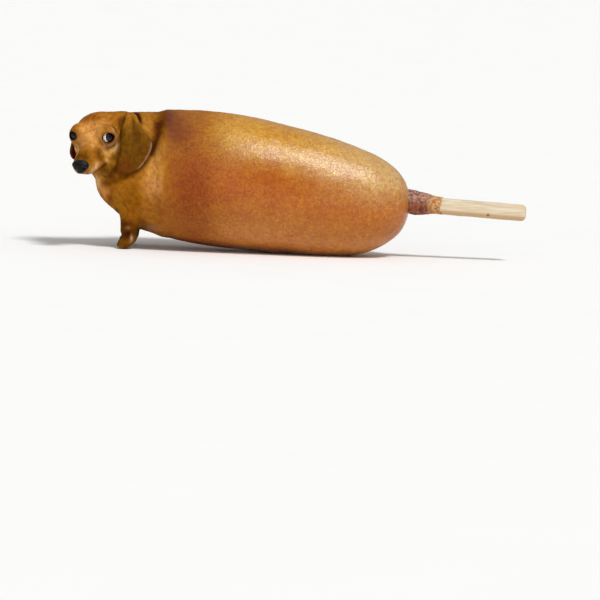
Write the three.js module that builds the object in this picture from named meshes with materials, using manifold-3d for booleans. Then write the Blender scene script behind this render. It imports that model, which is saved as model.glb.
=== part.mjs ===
// A corn dog whose far end is a dachshund: a thick, tapering, deep-fried batter body on a wooden
// stick, with the shoulders, neck, forelegs and turned head of a smooth-haired dachshund in front.
//
// Millimetres. +X runs towards the stick, +Y towards the dachshund's right side, +Z is up.
// The origin is on the floor, under the flat patch of the belly on which the corn dog lies.

import * as THREE from "three";
import { mergeVertices } from "three/addons/utils/BufferGeometryUtils.js";
import Module from "manifold-3d";

const wasm = await Module();
wasm.setup();

// ---------------------------------------------------------------- driving dimensions

const GAP = 0.3; // clearance between pieces that touch
const SHOULDER_X = -57; // where the batter ends and the dachshund begins
const BODY_END_X = 26.2; // the round end that the stick comes out of

// The batter: stations along X with the height of the body's axis and its radius. A superellipse
// closes it over the last END_LENGTH; END_FULLNESS is its exponent, and 2 would be a plain ellipse.
const END_LENGTH = 40;
const END_FULLNESS = 2.4;
const BODY_STATIONS = [
  { x: SHOULDER_X, axis: 25.5, radius: 21.5 },
  { x: -45, axis: 24.6, radius: 22.7 },
  { x: -28, axis: 23.2, radius: 22.6 },
  { x: -11, axis: 21.0, radius: 21.4 },
  { x: 0, axis: 19.6, radius: 20.7 },
  { x: 10, axis: 18.6, radius: 20.4 },
  { x: BODY_END_X, axis: 18.2, radius: 20.2 },
];

// The stick's section and its line, which falls and is rolled by so many degrees; then the collar of
// crust on it, with its radius at three places.
const STICK = {
  width: 5.3,
  thickness: 3.7,
  corner: 1.1,
  start: 29,
  end: 66,
  height: 18.5,
  fall: 2.3,
  roll: 24,
};
const COLLAR = { start: 22, root: 4.3, rootX: 26, middle: 3.8, middleX: 31, tip: 2.95, tipX: 37, fall: 6 };

// The dachshund's head, turned towards -Y and lowered. Head coordinates are forward, left and up
// from the point midway between the eyes.
const HEAD = { middle: [-81.6, -15, 37.7], turn: 16, lower: 24, blend: 2.2 };
const EYE = { forward: -0.1, side: 5.4, up: 0, radius: 2.2 };
const EYE_OPENING = { centre: [2.0, 6.2, 1.0], radii: [2.0, 2.0, 1.8], blend: 1.0 };
const NOSE = { centre: [14.2, 0, -4.1], size: [2.0, 2.95, 2.35] };

// The dachshund is modelled from balls (centre and radii) and from rods with round ends (two ends and
// a radius at each). blend is how softly a form runs into the ones before it. The head's forms are in
// head coordinates, and its two sides are alike.
const HEAD_FORMS = {
  skull: { centre: [-6.6, 0, -0.7], radii: [9.0, 7.7, 5.3], blend: 1.0 }, // broad and nearly flat on top
  cheeks: { centre: [-4.4, 4.3, -5.4], radii: [5.8, 3.6, 5.0], blend: 3.0 },
  muzzle: { ends: [[0.5, 0, -3.8], [11.0, 0, -5.0]], radii: [4.1, 3.5], blend: 3.0 },
  eyeSockets: { centre: [-0.9, 4.7, 0.7], radii: [3.2, 2.7, 3.1], blend: 2.0 },
  upperLips: { ends: [[3.6, 3.2, -7.0], [10.4, 1.7, -6.2]], radii: [2.2, 1.9], blend: 1.5 },
  lowerJaw: { ends: [[-4.0, 0, -8.8], [7.4, 0, -7.9]], radii: [4.2, 2.2], blend: 1.6 },
};
const BODY_FORMS = {
  chest: { centre: [-64.6, 0, 22.4], radii: [15.9, 18.2, 12.0], blend: 4.0 },
  brisket: { centre: [-61.0, 0, 15.5], radii: [11.0, 16.5, 9.8], blend: 4.0 }, // between the forelegs
  throat: { ends: [[-62.0, -1.0, 26.0], [-76.6, -7.5, 30.8]], radii: [15.0, 7.8], blend: 4.0 },
  neck: { ends: [[-56.0, 0, 33.6], [-72.0, -6.0, 37.8]], radii: [13.2, 8.5], blend: 1.5 },
  jowl: { centre: [-75.6, -13.6, 27.4], radii: [3.3, 3.0, 3.3], blend: 1.5 }, // skin bunched by the turn
};
const FAR_END_DEPTH = 7; // how far the batter's rounded far end reaches into the chest
const DRAWN_SPACE = { low: [-96, -36, -4], high: [-50, 28, 54] }; // holds all of the dachshund but its ears

// The foreleg on the +Y side, which stands on its toes; the other one mirrors it.
const FORELEG_FORMS = {
  leg: { ends: [[-66.8, 8.8, 14.0], [-68.2, 9.4, 6.4]], radii: [4.8, 3.0], blend: 1.5 },
  toes: { centre: [-69.9, 9.6, 1.7], radii: [2.2, 3.4, 1.9], blend: 1.5 },
  heel: { centre: [-67.8, 9.5, 3.7], radii: [2.2, 2.7, 2.2], blend: 1.5 },
};
const FORELEG_BLEND = 2.5; // how softly the forelegs run into the body

// An ear: its thickness, how far its middle bows out over the cheek, how its edges curl in, how far the
// top is folded into the head over the first foldShare, and the shares of its length at which the
// outline starts to round off towards the top and the tip.
const EAR = {
  thickness: 1.8,
  bow: 2.4,
  curl: 0.03,
  fold: 2.2,
  foldShare: 0.22,
  roundTop: 0.1,
  roundTip: 0.8,
};
// The ear's outline, as the reach in front of its middle line and behind it at shares of its length.
const EAR_OUTLINE = [
  { share: 0, front: 1.0, rear: 2.4 },
  { share: 0.16, front: 1.6, rear: 3.1 },
  { share: 0.32, front: 3.3, rear: 4.4 },
  { share: 0.52, front: 3.7, rear: 7.0 },
  { share: 0.64, front: 3.9, rear: 6.7 },
  { share: 0.86, front: 5.4, rear: 4.0 },
  { share: 1, front: 6.2, rear: 2.6 },
];
const EARS = [
  { base: [-69.9, -11.7, 46.6], tip: [-67.6, -16.9, 25.8], rearward: [0.99, 0.14, 0] },
  { base: [-83.6, -4.2, 44.4], tip: [-85.8, -2.2, 27.6], rearward: [0.68, 0.73, 0] },
];

const COAT_CELL = 1.6; // size of the grid that the dachshund's surface is drawn on
const SPARE = 3; // how far that surface runs past SHOULDER_X before it is cut

const COLOURS = {
  batter: { color: 0xb8722c, roughness: 0.45, metalness: 0 },
  wood: { color: 0xe2caa4, roughness: 0.8, metalness: 0 },
  coat: { color: 0xa8642a, roughness: 0.6, metalness: 0 },
  dark: { color: 0x1c1a1b, roughness: 0.3, metalness: 0 },
  iris: { color: 0x2c160e, roughness: 0.08, metalness: 0 },
};

// ---------------------------------------------------------------- solids and meshes

function solidOf(geometry) {
  const bare = geometry.clone();
  for (const name of Object.keys(bare.attributes)) {
    if (name !== "position") bare.deleteAttribute(name);
  }
  const merged = mergeVertices(bare, 1e-3);
  return new wasm.Manifold(
    new wasm.Mesh({
      numProp: 3,
      vertProperties: merged.attributes.position.array,
      triVerts: new Uint32Array(merged.index.array),
    }),
  );
}

function meshOf(name, solid, look) {
  const { vertProperties, triVerts } = solid.getMesh();
  const geometry = new THREE.BufferGeometry();
  geometry.setAttribute("position", new THREE.BufferAttribute(new Float32Array(vertProperties), 3));
  geometry.setIndex(new THREE.BufferAttribute(new Uint32Array(triVerts), 1));
  geometry.computeVertexNormals();
  const mesh = new THREE.Mesh(geometry, new THREE.MeshStandardMaterial(look));
  mesh.name = name;
  return mesh;
}

// A box between two corners, used to cut solids off at a plane.
function boxBetween(low, high) {
  const size = high.map((value, i) => value - low[i]);
  const centre = high.map((value, i) => (value + low[i]) / 2);
  return solidOf(new THREE.BoxGeometry(...size).translate(...centre));
}

function ellipsoidSolid(centre, radii, axes, detail = 20) {
  const geometry = new THREE.SphereGeometry(1, detail, detail / 2);
  const [a, b, c] = axes.map((axis) => new THREE.Vector3(...axis));
  const basis = new THREE.Matrix4().makeBasis(a, b, c).scale(new THREE.Vector3(...radii));
  return solidOf(geometry.applyMatrix4(basis.setPosition(...centre)));
}

const clamp01 = (t) => Math.min(Math.max(t, 0), 1);
const mix = (a, b, t) => a + (b - a) * t;

const FLOOR_BOX = boxBetween([-200, -100, -50], [200, 100, 0]);

// ---------------------------------------------------------------- the batter body

// A measure, named by key, on a smooth curve through stations that are placed by their measure by.
function along(stations, by, at, key) {
  const last = stations.length - 1;
  let i = 0;
  while (i < last - 1 && at > stations[i + 1][by]) i += 1;
  const [a, b] = [stations[i], stations[i + 1]];
  const slopeAt = (n) => {
    const [before, after] = [stations[Math.max(n - 1, 0)], stations[Math.min(n + 1, last)]];
    return (after[key] - before[key]) / (after[by] - before[by]);
  };
  const span = b[by] - a[by];
  const t = clamp01((at - a[by]) / span);
  return (
    a[key] * (1 + 2 * t) * (1 - t) ** 2 +
    b[key] * (3 - 2 * t) * t ** 2 +
    slopeAt(i) * span * t * (1 - t) ** 2 -
    slopeAt(i + 1) * span * t ** 2 * (1 - t)
  );
}

const alongBody = (x, key) => along(BODY_STATIONS, "x", x, key);

function bodyRadius(x) {
  const inArc = clamp01((x - (BODY_END_X - END_LENGTH)) / END_LENGTH);
  return alongBody(x, "radius") * (1 - inArc ** END_FULLNESS) ** (1 / END_FULLNESS);
}

// A body of revolution that starts with a flat face at SHOULDER_X and follows the bent axis.
function batterBody() {
  const profile = [new THREE.Vector2(0, SHOULDER_X)];
  const straightSteps = 12;
  const arcStart = BODY_END_X - END_LENGTH;
  for (let i = 0; i <= straightSteps; i += 1) {
    const x = mix(SHOULDER_X, arcStart, i / straightSteps);
    profile.push(new THREE.Vector2(bodyRadius(x), x));
  }
  const arcSteps = 18;
  for (let i = 1; i <= arcSteps; i += 1) {
    const angle = (i / arcSteps) * (Math.PI / 2);
    const x = arcStart + END_LENGTH * Math.sin(angle) ** (2 / END_FULLNESS);
    profile.push(new THREE.Vector2(i === arcSteps ? 0 : bodyRadius(x), x));
  }
  const geometry = new THREE.LatheGeometry(profile, 44);
  const position = geometry.attributes.position;
  for (let i = 0; i < position.count; i += 1) {
    // The lathe turns about Y; here its Y becomes X, and the section moves up to the axis.
    const [across, x, up] = [position.getX(i), position.getY(i), position.getZ(i)];
    position.setXYZ(i, x, across, up + alongBody(x, "axis"));
  }
  return solidOf(flipped(geometry));
}

// Swapping two axes turns a surface inside out, so its triangles are turned round.
function flipped(geometry) {
  const index = geometry.index.array;
  for (let i = 0; i < index.length; i += 3) {
    [index[i + 1], index[i + 2]] = [index[i + 2], index[i + 1]];
  }
  return geometry;
}

// Moves a solid that runs along X onto the stick's line, which falls slightly away from the body.
function ontoStickLine(geometry) {
  return geometry.rotateY(THREE.MathUtils.degToRad(STICK.fall)).translate(STICK.start, 0, STICK.height);
}

// The crust of batter that ran down the stick: thick at the body and thinning to the wood. It falls
// more steeply than the stick, so that its top slopes and its underside stays level.
function batterCollar() {
  const profile = [
    [0, COLLAR.start],
    [COLLAR.root, COLLAR.start],
    [COLLAR.root, COLLAR.rootX],
    [COLLAR.middle, COLLAR.middleX],
    [mix(COLLAR.middle, COLLAR.tip, 0.6), mix(COLLAR.middleX, COLLAR.tipX, 0.6)],
    [COLLAR.tip, COLLAR.tipX],
    [0, COLLAR.tipX],
  ].map(([radius, x]) => new THREE.Vector2(radius, x - COLLAR.tipX));
  const stickSlope = Math.tan(THREE.MathUtils.degToRad(STICK.fall));
  const tipHeight = STICK.height - (COLLAR.tipX - STICK.start) * stickSlope;
  const geometry = new THREE.LatheGeometry(profile, 24).rotateZ(-Math.PI / 2);
  geometry.rotateY(THREE.MathUtils.degToRad(COLLAR.fall)).translate(COLLAR.tipX, 0, tipHeight);
  return solidOf(geometry);
}

// ---------------------------------------------------------------- the stick

// A flat wooden bar with rounded edges and a rounded end, turned a little on its own axis.
// grow makes it larger all round, for the socket in the collar.
function stickBar(grow) {
  const [halfWidth, halfThickness] = [STICK.width / 2 + grow, STICK.thickness / 2 + grow];
  const round = STICK.corner;
  const section = new THREE.Shape();
  section.absarc(halfWidth - round, halfThickness - round, round, 0, Math.PI / 2);
  section.absarc(round - halfWidth, halfThickness - round, round, Math.PI / 2, Math.PI);
  section.absarc(round - halfWidth, round - halfThickness, round, Math.PI, Math.PI * 1.5);
  section.absarc(halfWidth - round, round - halfThickness, round, Math.PI * 1.5, Math.PI * 2);
  const bevel = 1.0;
  const geometry = new THREE.ExtrudeGeometry(section, {
    depth: STICK.end - STICK.start - bevel + grow * 2,
    steps: 8,
    curveSegments: 4,
    bevelEnabled: true,
    bevelSize: bevel,
    bevelOffset: -bevel,
    bevelThickness: bevel,
    bevelSegments: 3,
  });
  // The section's width stands up along Z, and the extrusion runs along X.
  geometry.translate(0, 0, -grow);
  geometry.rotateZ(Math.PI / 2 + THREE.MathUtils.degToRad(STICK.roll));
  geometry.rotateY(Math.PI / 2);
  geometry.rotateX(Math.PI / 2);
  return solidOf(ontoStickLine(geometry));
}

// ---------------------------------------------------------------- distance fields for the dachshund

const sub = (p, q) => [p[0] - q[0], p[1] - q[1], p[2] - q[2]];
const dot = (p, q) => p[0] * q[0] + p[1] * q[1] + p[2] * q[2];

function ball([x, y, z], centre, radii) {
  const [a, b, c] = [(x - centre[0]) / radii[0], (y - centre[1]) / radii[1], (z - centre[2]) / radii[2]];
  const near = Math.hypot(a, b, c);
  const slope = Math.hypot(a / radii[0], b / radii[1], c / radii[2]);
  return slope === 0 ? -Math.min(...radii) : (near * (near - 1)) / slope;
}

// A rod with round ends whose radius changes from r to s between a and b.
function rod(p, a, b, r, s) {
  const [toPoint, toEnd] = [sub(p, a), sub(b, a)];
  const t = clamp01(dot(toPoint, toEnd) / dot(toEnd, toEnd));
  return Math.hypot(...toPoint.map((value, i) => value - toEnd[i] * t)) - mix(r, s, t);
}

function joined(a, b, blend) {
  const h = Math.max(blend - Math.abs(a - b), 0) / blend;
  return Math.min(a, b) - (h * h * blend) / 4;
}

const carved = (a, b, blend) => -joined(-a, b, blend);

const formAt = (p, { centre, ends, radii }) => (ends ? rod(p, ...ends, ...radii) : ball(p, centre, radii));

function joinedForms(d, p, forms) {
  return Object.values(forms).reduce((sum, form) => joined(sum, formAt(p, form), form.blend), d);
}

const [turn, lower] = [HEAD.turn, HEAD.lower].map(THREE.MathUtils.degToRad);
const FORWARD = [-Math.sin(turn) * Math.cos(lower), -Math.cos(turn) * Math.cos(lower), -Math.sin(lower)];
const LEFT = [Math.cos(turn), -Math.sin(turn), 0];
const UP = [-Math.sin(lower) * Math.sin(turn), -Math.sin(lower) * Math.cos(turn), Math.cos(lower)];

// Where a place given in head coordinates lies in the part's own frame.
function headPlace([forward, left, up]) {
  return HEAD.middle.map((value, i) => value + forward * FORWARD[i] + left * LEFT[i] + up * UP[i]);
}

const HEAD_CORE = headPlace(HEAD_FORMS.skull.centre);

function headShape(p) {
  const from = sub(p, HEAD.middle);
  const q = [dot(from, FORWARD), Math.abs(dot(from, LEFT)), dot(from, UP)]; // both sides are alike
  const head = joinedForms(Infinity, q, HEAD_FORMS);
  return carved(head, formAt(q, EYE_OPENING), EYE_OPENING.blend);
}

function coatShape(p) {
  const radius = bodyRadius(SHOULDER_X);
  const farEndCentre = [SHOULDER_X - GAP, 0, alongBody(SHOULDER_X, "axis")];
  const farEnd = ball(p, farEndCentre, [FAR_END_DEPTH, radius, radius]);
  let d = joinedForms(farEnd, p, BODY_FORMS);
  const mirrored = [p[0], Math.abs(p[1]), p[2]];
  d = joined(d, joinedForms(Infinity, mirrored, FORELEG_FORMS), FORELEG_BLEND);
  d = joined(d, headShape(p), HEAD.blend);
  return Math.max(d, p[0] - SHOULDER_X - SPARE); // the spare is cut off flat afterwards
}

// Fills each grid square whose corners are inside and outside by turns, because the surface would
// touch itself along an edge there. Filling one can leave another, so it goes on until none is left.
function fillPinches(values, size, stride, placeOf, depth) {
  let filled = true;
  while (filled) {
    filled = false;
    for (let n = 0; n < values.length; n += 1) {
      const place = placeOf(n);
      for (let axis = 0; axis < 3; axis += 1) {
        const [b, c] = [(axis + 1) % 3, (axis + 2) % 3];
        if (place[b] >= size[b] - 1 || place[c] >= size[c] - 1) continue;
        const square = [n, n + stride[b], n + stride[b] + stride[c], n + stride[c]];
        const inside = square.map((at) => values[at] < 0);
        if (inside[0] !== inside[2] || inside[1] !== inside[3] || inside[0] === inside[1]) continue;
        const outside = square.filter((at) => values[at] >= 0);
        outside.sort((at, other) => values[at] - values[other]);
        values[outside[0]] = -depth;
        filled = true;
      }
    }
  }
}

// Draws the surface where distance is 0: one point in each grid cell that it passes through, and
// one quad round each grid edge that it cuts.
function surfaceOf(distance, low, high, cell) {
  const size = low.map((value, i) => Math.ceil((high[i] - value) / cell) + 1);
  const stride = [1, size[0], size[0] * size[1]];
  const values = new Float64Array(size[0] * size[1] * size[2]);
  const placeOf = (n) => [n % size[0], Math.floor(n / stride[1]) % size[1], Math.floor(n / stride[2])];
  for (let n = 0; n < values.length; n += 1) {
    values[n] = distance(placeOf(n).map((step, i) => low[i] + step * cell));
  }
  fillPinches(values, size, stride, placeOf, cell / 8);

  const corners = [0, 1, 2, 3, 4, 5, 6, 7].map((bits) => [bits & 1, (bits >> 1) & 1, (bits >> 2) & 1]);
  const points = [];
  const pointOf = new Int32Array(values.length).fill(-1);
  for (let n = 0; n < values.length; n += 1) {
    const place = placeOf(n);
    if (place.some((step, i) => step >= size[i] - 1)) continue;
    const crossings = [];
    for (const corner of corners) {
      for (let axis = 0; axis < 3; axis += 1) {
        if (corner[axis] === 1) continue;
        const start = n + dot(corner, stride);
        const [a, b] = [values[start], values[start + stride[axis]]];
        if (a < 0 === b < 0) continue;
        const crossing = corner.slice();
        crossing[axis] += a / (a - b);
        crossings.push(crossing);
      }
    }
    if (crossings.length === 0) continue;
    pointOf[n] = points.length / 3;
    for (let i = 0; i < 3; i += 1) {
      const mean = crossings.reduce((sum, crossing) => sum + crossing[i], 0) / crossings.length;
      points.push(low[i] + (place[i] + mean) * cell);
    }
  }

  const triangles = [];
  for (let n = 0; n < values.length; n += 1) {
    const place = placeOf(n);
    for (let axis = 0; axis < 3; axis += 1) {
      const [b, c] = [(axis + 1) % 3, (axis + 2) % 3];
      if (place[axis] >= size[axis] - 1 || place[b] === 0 || place[c] === 0) continue;
      const inside = values[n] < 0;
      if (inside === values[n + stride[axis]] < 0) continue;
      const cells = [n, n - stride[b], n - stride[b] - stride[c], n - stride[c]];
      const ring = cells.map((at) => pointOf[at]);
      if (!inside) ring.reverse();
      triangles.push(ring[0], ring[1], ring[2], ring[0], ring[2], ring[3]);
    }
  }
  const geometry = new THREE.BufferGeometry();
  geometry.setAttribute("position", new THREE.Float32BufferAttribute(points, 3));
  geometry.setIndex(triangles);
  return geometry;
}

// ---------------------------------------------------------------- ears

// How far the ear's outline lies behind and in front of its middle line, at a share of its length.
function earReach(share) {
  const { roundTop, roundTip } = EAR;
  const intoEnd = Math.max((roundTop - share) / roundTop, (share - roundTip) / (1 - roundTip), 0);
  const fullness = Math.sqrt(Math.max(1 - intoEnd ** 2, 0)); // round at the tip and at the top
  const [rear, front] = ["rear", "front"].map((key) => along(EAR_OUTLINE, "share", share, key) * fullness);
  return { rear, front: -front };
}

// A hanging flap: a sphere pressed flat, drawn out to the ear's outline, curled towards the head,
// and hung from base to tip.
function earSolid({ base, tip, rearward }) {
  const up = new THREE.Vector3(...sub(base, tip));
  const length = up.length();
  up.normalize();
  const across = new THREE.Vector3(...rearward);
  across.addScaledVector(up, -across.dot(up)).normalize();
  const normal = new THREE.Vector3().crossVectors(across, up);
  const fromHead = new THREE.Vector3(...sub(base, HEAD_CORE));
  const towardsHead = -Math.sign(normal.dot(fromHead)); // the two ears mirror each other

  const geometry = new THREE.SphereGeometry(1, 24, 18);
  const position = geometry.attributes.position;
  for (let i = 0; i < position.count; i += 1) {
    const [x, y, z] = [position.getX(i), position.getY(i), position.getZ(i)];
    const ring = Math.hypot(x, z) || 1;
    const share = (1 - y) / 2;
    const { rear, front } = earReach(share);
    const reach = mix(front, rear, (1 + x / ring) / 2);
    const folded = 1 - clamp01(share / EAR.foldShare);
    const bowed = EAR.bow * 4 * share * (1 - share); // 0 at both ends and bow in the middle
    const bend = EAR.curl * reach ** 2 + EAR.fold * folded ** 2 - bowed;
    const depth = (z * EAR.thickness) / 2 + towardsHead * bend;
    position.setXYZ(i, reach, -share * length, depth);
  }
  const frame = new THREE.Matrix4().makeBasis(across, up, normal).setPosition(...base);
  return solidOf(geometry.applyMatrix4(frame));
}

// ---------------------------------------------------------------- pieces

const HEAD_AXES = [FORWARD, LEFT, UP];
const noseSolid = (grow) =>
  ellipsoidSolid(headPlace(NOSE.centre), NOSE.size.map((value) => value + grow), HEAD_AXES);
const eyeSolid = (side, grow) => {
  const centre = headPlace([EYE.forward, side * EYE.side, EYE.up]);
  return ellipsoidSolid(centre, [1, 1, 1].map((value) => value * (EYE.radius + grow)), HEAD_AXES, 18);
};

function dachshundSolid() {
  let solid = solidOf(surfaceOf(coatShape, DRAWN_SPACE.low, DRAWN_SPACE.high, COAT_CELL));
  for (const ear of EARS) solid = solid.add(earSolid(ear));
  solid = solid.intersect(boxBetween([-120, -60, 0], [SHOULDER_X - GAP, 60, 80]));
  return solid.subtract(noseSolid(GAP)).subtract(eyeSolid(1, GAP)).subtract(eyeSolid(-1, GAP));
}

const batter = batterBody().add(batterCollar()).subtract(stickBar(GAP)).subtract(FLOOR_BOX);

const cornDog = new THREE.Group();
cornDog.add(meshOf("batter", batter, COLOURS.batter));
cornDog.add(meshOf("stick", stickBar(0), COLOURS.wood));
cornDog.add(meshOf("dachshund", dachshundSolid(), COLOURS.coat));
cornDog.add(meshOf("nose", noseSolid(0), COLOURS.dark));
cornDog.add(meshOf("eye_left", eyeSolid(1, 0), COLOURS.iris));
cornDog.add(meshOf("eye_right", eyeSolid(-1, 0), COLOURS.iris));

export default cornDog;
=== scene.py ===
"""The looks of a corn dog whose far end is a dachshund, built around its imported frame.

Shapes are worked out in millimetres and become metres when a mesh is made. The dachshund and the
batter are one skin: both are drawn from the same distance field, and meet at SHOULDER_X.
"""

import math

import bpy
import numpy as np
from mathutils import Matrix, Vector


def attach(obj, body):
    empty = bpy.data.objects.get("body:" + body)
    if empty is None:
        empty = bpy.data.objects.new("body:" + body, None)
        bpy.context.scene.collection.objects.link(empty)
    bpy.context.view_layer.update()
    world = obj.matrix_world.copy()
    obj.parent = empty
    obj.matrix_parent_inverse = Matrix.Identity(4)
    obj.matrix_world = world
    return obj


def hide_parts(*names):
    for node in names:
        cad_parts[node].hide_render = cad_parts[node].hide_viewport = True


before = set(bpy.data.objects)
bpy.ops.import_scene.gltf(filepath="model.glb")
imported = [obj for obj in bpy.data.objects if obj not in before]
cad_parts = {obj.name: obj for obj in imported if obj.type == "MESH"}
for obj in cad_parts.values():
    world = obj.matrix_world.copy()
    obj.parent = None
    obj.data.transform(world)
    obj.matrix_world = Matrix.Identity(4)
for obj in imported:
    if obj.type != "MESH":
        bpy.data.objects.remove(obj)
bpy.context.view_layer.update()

MM = 0.001

# ---------------- driving dimensions, in mm

SHOULDER_X = -57
BODY_END_X = 26.2
END_LENGTH = 40
END_FULLNESS = 2.4
STATIONS = np.array([  # x, height of the axis, radius
    [SHOULDER_X, 25.5, 21.5],
    [-45, 24.6, 22.7],
    [-28, 23.2, 22.6],
    [-11, 21, 21.4],
    [0, 19.6, 20.7],
    [10, 18.6, 20.4],
    [BODY_END_X, 18.2, 20.2],
])
AXIS, RADIUS = 1, 2
FAR_END_DEPTH, FAR_END_INSET = 7, 0.3  # how far the rounded end reaches, and where it starts
CAP_SHARE, CAP_DEPTH = 0.9, 0.6  # the flat cap's size beside the ring it closes, and how deep it lies

STICK = {"width": 5.3, "thickness": 3.7, "start": 29, "end": 66, "height": 18.5, "fall": 2.3, "roll": 24,
         "end_round": 1.6, "fullness": 4.5}
COLLAR = [(22, 4.3), (26, 4.3), (31, 3.8), (34.6, 3.29), (37, 2.95)]  # x and radius
COLLAR_FALL = 6

HEAD_MIDDLE = np.array([-81.6, -15, 37.7])
TURN, LOWER = math.radians(16), math.radians(24)
FORWARD = np.array([-math.sin(TURN) * math.cos(LOWER), -math.cos(TURN) * math.cos(LOWER), -math.sin(LOWER)])
LEFT = np.array([math.cos(TURN), -math.sin(TURN), 0])
UP = np.array([-math.sin(LOWER) * math.sin(TURN), -math.sin(LOWER) * math.cos(TURN), math.cos(LOWER)])
HEAD_AXES = np.array([FORWARD, LEFT, UP])
HEAD_BLEND = 2.2

# Balls are a centre and radii, rods are two ends and a radius at each; the last number is how
# softly a form runs into the ones before it. The head's forms are in head coordinates: forward,
# to either side, and up from the point midway between the eyes.
HEAD_FORMS = [
    ((-6.6, 0, -0.7), (9, 7.7, 5.3), 1),  # skull
    ((-4.4, 4.3, -5.4), (5.8, 3.6, 5), 3),  # cheeks
    ((0.5, 0, -3.8), (11, 0, -5), 4.1, 3.5, 3),  # muzzle
    ((-0.9, 4.7, 0.7), (3.2, 2.7, 3.1), 2),  # eye sockets
    ((3.6, 3.2, -7), (10.4, 1.7, -6.2), 2.2, 1.9, 1.5),  # upper lips
    ((-4, 0, -8.8), (7.4, 0, -7.9), 4.2, 2.2, 1.6),  # lower jaw
]
BODY_FORMS = [
    ((-64.6, 0, 22.4), (15.9, 18.2, 12), 4),  # chest
    ((-61, 0, 15.5), (11, 16.5, 9.8), 4),  # brisket
    ((-62, -1, 26), (-76.6, -7.5, 30.8), 15, 7.8, 4),  # throat
    ((-56, 0, 33.6), (-72, -6, 37.8), 13.2, 8.5, 1.5),  # neck
    ((-75.6, -13.6, 27.4), (3.3, 3, 3.3), 1.5),  # jowl, skin bunched by the turn of the head
]
TOES_CENTRE = (-69.9, 9.6, 1.7)
FORELEG_FORMS = [  # the one on the +Y side; the other mirrors it
    ((-66.8, 8.8, 14), (-68.2, 9.4, 6.4), 4.8, 3, 1.5),  # leg
    (TOES_CENTRE, (2.2, 3.4, 1.9), 1.5),  # toes
    ((-67.8, 9.5, 3.7), (2.2, 2.7, 2.2), 1.5),  # heel
]
FORELEG_BLEND = 2.5

EYE_CENTRE = (-0.1, 5.4, 0)
EYE_RADIUS = 2.2
EYE_DENT_CENTRE, EYE_DENT_RADII = (2, 6.2, 1), (2, 2, 1.8)  # hollow in front of each eye
NOSE_CENTRE, NOSE_RADII = (14.2, 0, -4.1), (2, 2.95, 2.35)
NOSE_SUNK = 0.45  # how deep the coat ends inside the nose

EAR = {"thickness": 1.5, "bow": 2.4, "curl": 0.03, "fold": 2.2, "fold_share": 0.22, "round_top": 0.1,
       "round_tip": 0.8, "turn_out": 0.5, "pleat": 0.35, "pleat_width": 3.4, "pleat_spread": 5}
EAR_BLEND, EAR_ROOT_BLEND = 0.15, 1.6
EAR_OUTLINE = np.array([  # share of the ear's length, reach in front of its middle line, reach behind it
    [0, 1, 2.4],
    [0.16, 1.6, 3.1],
    [0.32, 3.3, 4.4],
    [0.52, 3.7, 7],
    [0.64, 3.9, 6.7],
    [0.86, 5.4, 4],
    [1, 6.2, 2.6],
])
FRONT, REAR = 1, 2
EARS = [  # base, tip and the direction towards the rear edge
    ((-69.9, -11.7, 46.6), (-67.6, -16.9, 25.8), (0.99, 0.14, 0)),
    ((-83.6, -4.2, 44.4), (-85.7, -2.2, 28.8), (0.68, 0.73, 0)),
]

# ---------------- camera

PIXEL = 0.34  # mm of the object for each pixel of the 600 px frame
ELEVATION, ROLL = math.radians(5), math.radians(2.4)
LENS, SENSOR = 300, 36
FRAME_PX = 600
FRAME_CENTRE_PX = (-30, -45)  # the frame's centre from the part's origin, right and up


def add_object(name, data):
    thing = bpy.data.objects.new(name, data)
    bpy.context.scene.collection.objects.link(thing)
    return thing


def add_camera():
    """A long lens at the photograph's angle, rolled so that the body slopes as it does there."""
    back = np.array([0, -math.cos(ELEVATION), math.sin(ELEVATION)])
    level_up = np.array([0, math.sin(ELEVATION), math.cos(ELEVATION)])
    right = np.array([math.cos(ROLL), 0, 0]) + level_up * math.sin(ROLL)
    up = np.array([-math.sin(ROLL), 0, 0]) + level_up * math.cos(ROLL)
    distance = FRAME_PX * PIXEL * LENS / SENSOR
    target = (right * FRAME_CENTRE_PX[0] + up * FRAME_CENTRE_PX[1]) * PIXEL
    data = bpy.data.cameras.new("camera")
    data.lens, data.sensor_width = LENS, SENSOR
    data.clip_start, data.clip_end = 0.1, 100
    camera = add_object("camera", data)
    place = (target + back * distance) * MM
    camera.matrix_world = Matrix(np.array([right, up, back, place]).T.tolist() + [[0, 0, 0, 1]])
    bpy.context.scene.camera = camera


add_camera()

# ---------------- distance fields
# A field takes points, an array of three rows in mm, and gives about how far each lies outside.


def ball(p, centre, radii):
    a, b, c = ((p[i] - centre[i]) / radii[i] for i in range(3))
    near = np.sqrt(a * a + b * b + c * c)
    slope = np.sqrt((a / radii[0]) ** 2 + (b / radii[1]) ** 2 + (c / radii[2]) ** 2)
    return np.where(slope < 1e-6, -min(radii), near * (near - 1) / np.maximum(slope, 1e-6))


def rod(p, a, b, r, s):
    span = [b[i] - a[i] for i in range(3)]
    length = sum(value * value for value in span)
    t = np.clip(sum((p[i] - a[i]) * span[i] for i in range(3)) / length, 0, 1)
    away = sum((p[i] - a[i] - span[i] * t) ** 2 for i in range(3))
    return np.sqrt(away) - (r + (s - r) * t)


def joined(a, b, blend):
    h = np.maximum(blend - np.abs(a - b), 0) / blend
    return np.minimum(a, b) - h * h * blend / 4


def carved(a, b, blend):
    return -joined(-a, b, blend)


def joined_forms(d, p, forms):
    for *form, blend in forms:
        shape = ball(p, *form) if len(form) == 2 else rod(p, *form)
        d = shape if d is None else joined(d, shape, blend)
    return d


def smooth(low, high, x):
    t = np.clip((x - low) / (high - low), 0, 1)
    return t * t * (3 - 2 * t)


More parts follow.
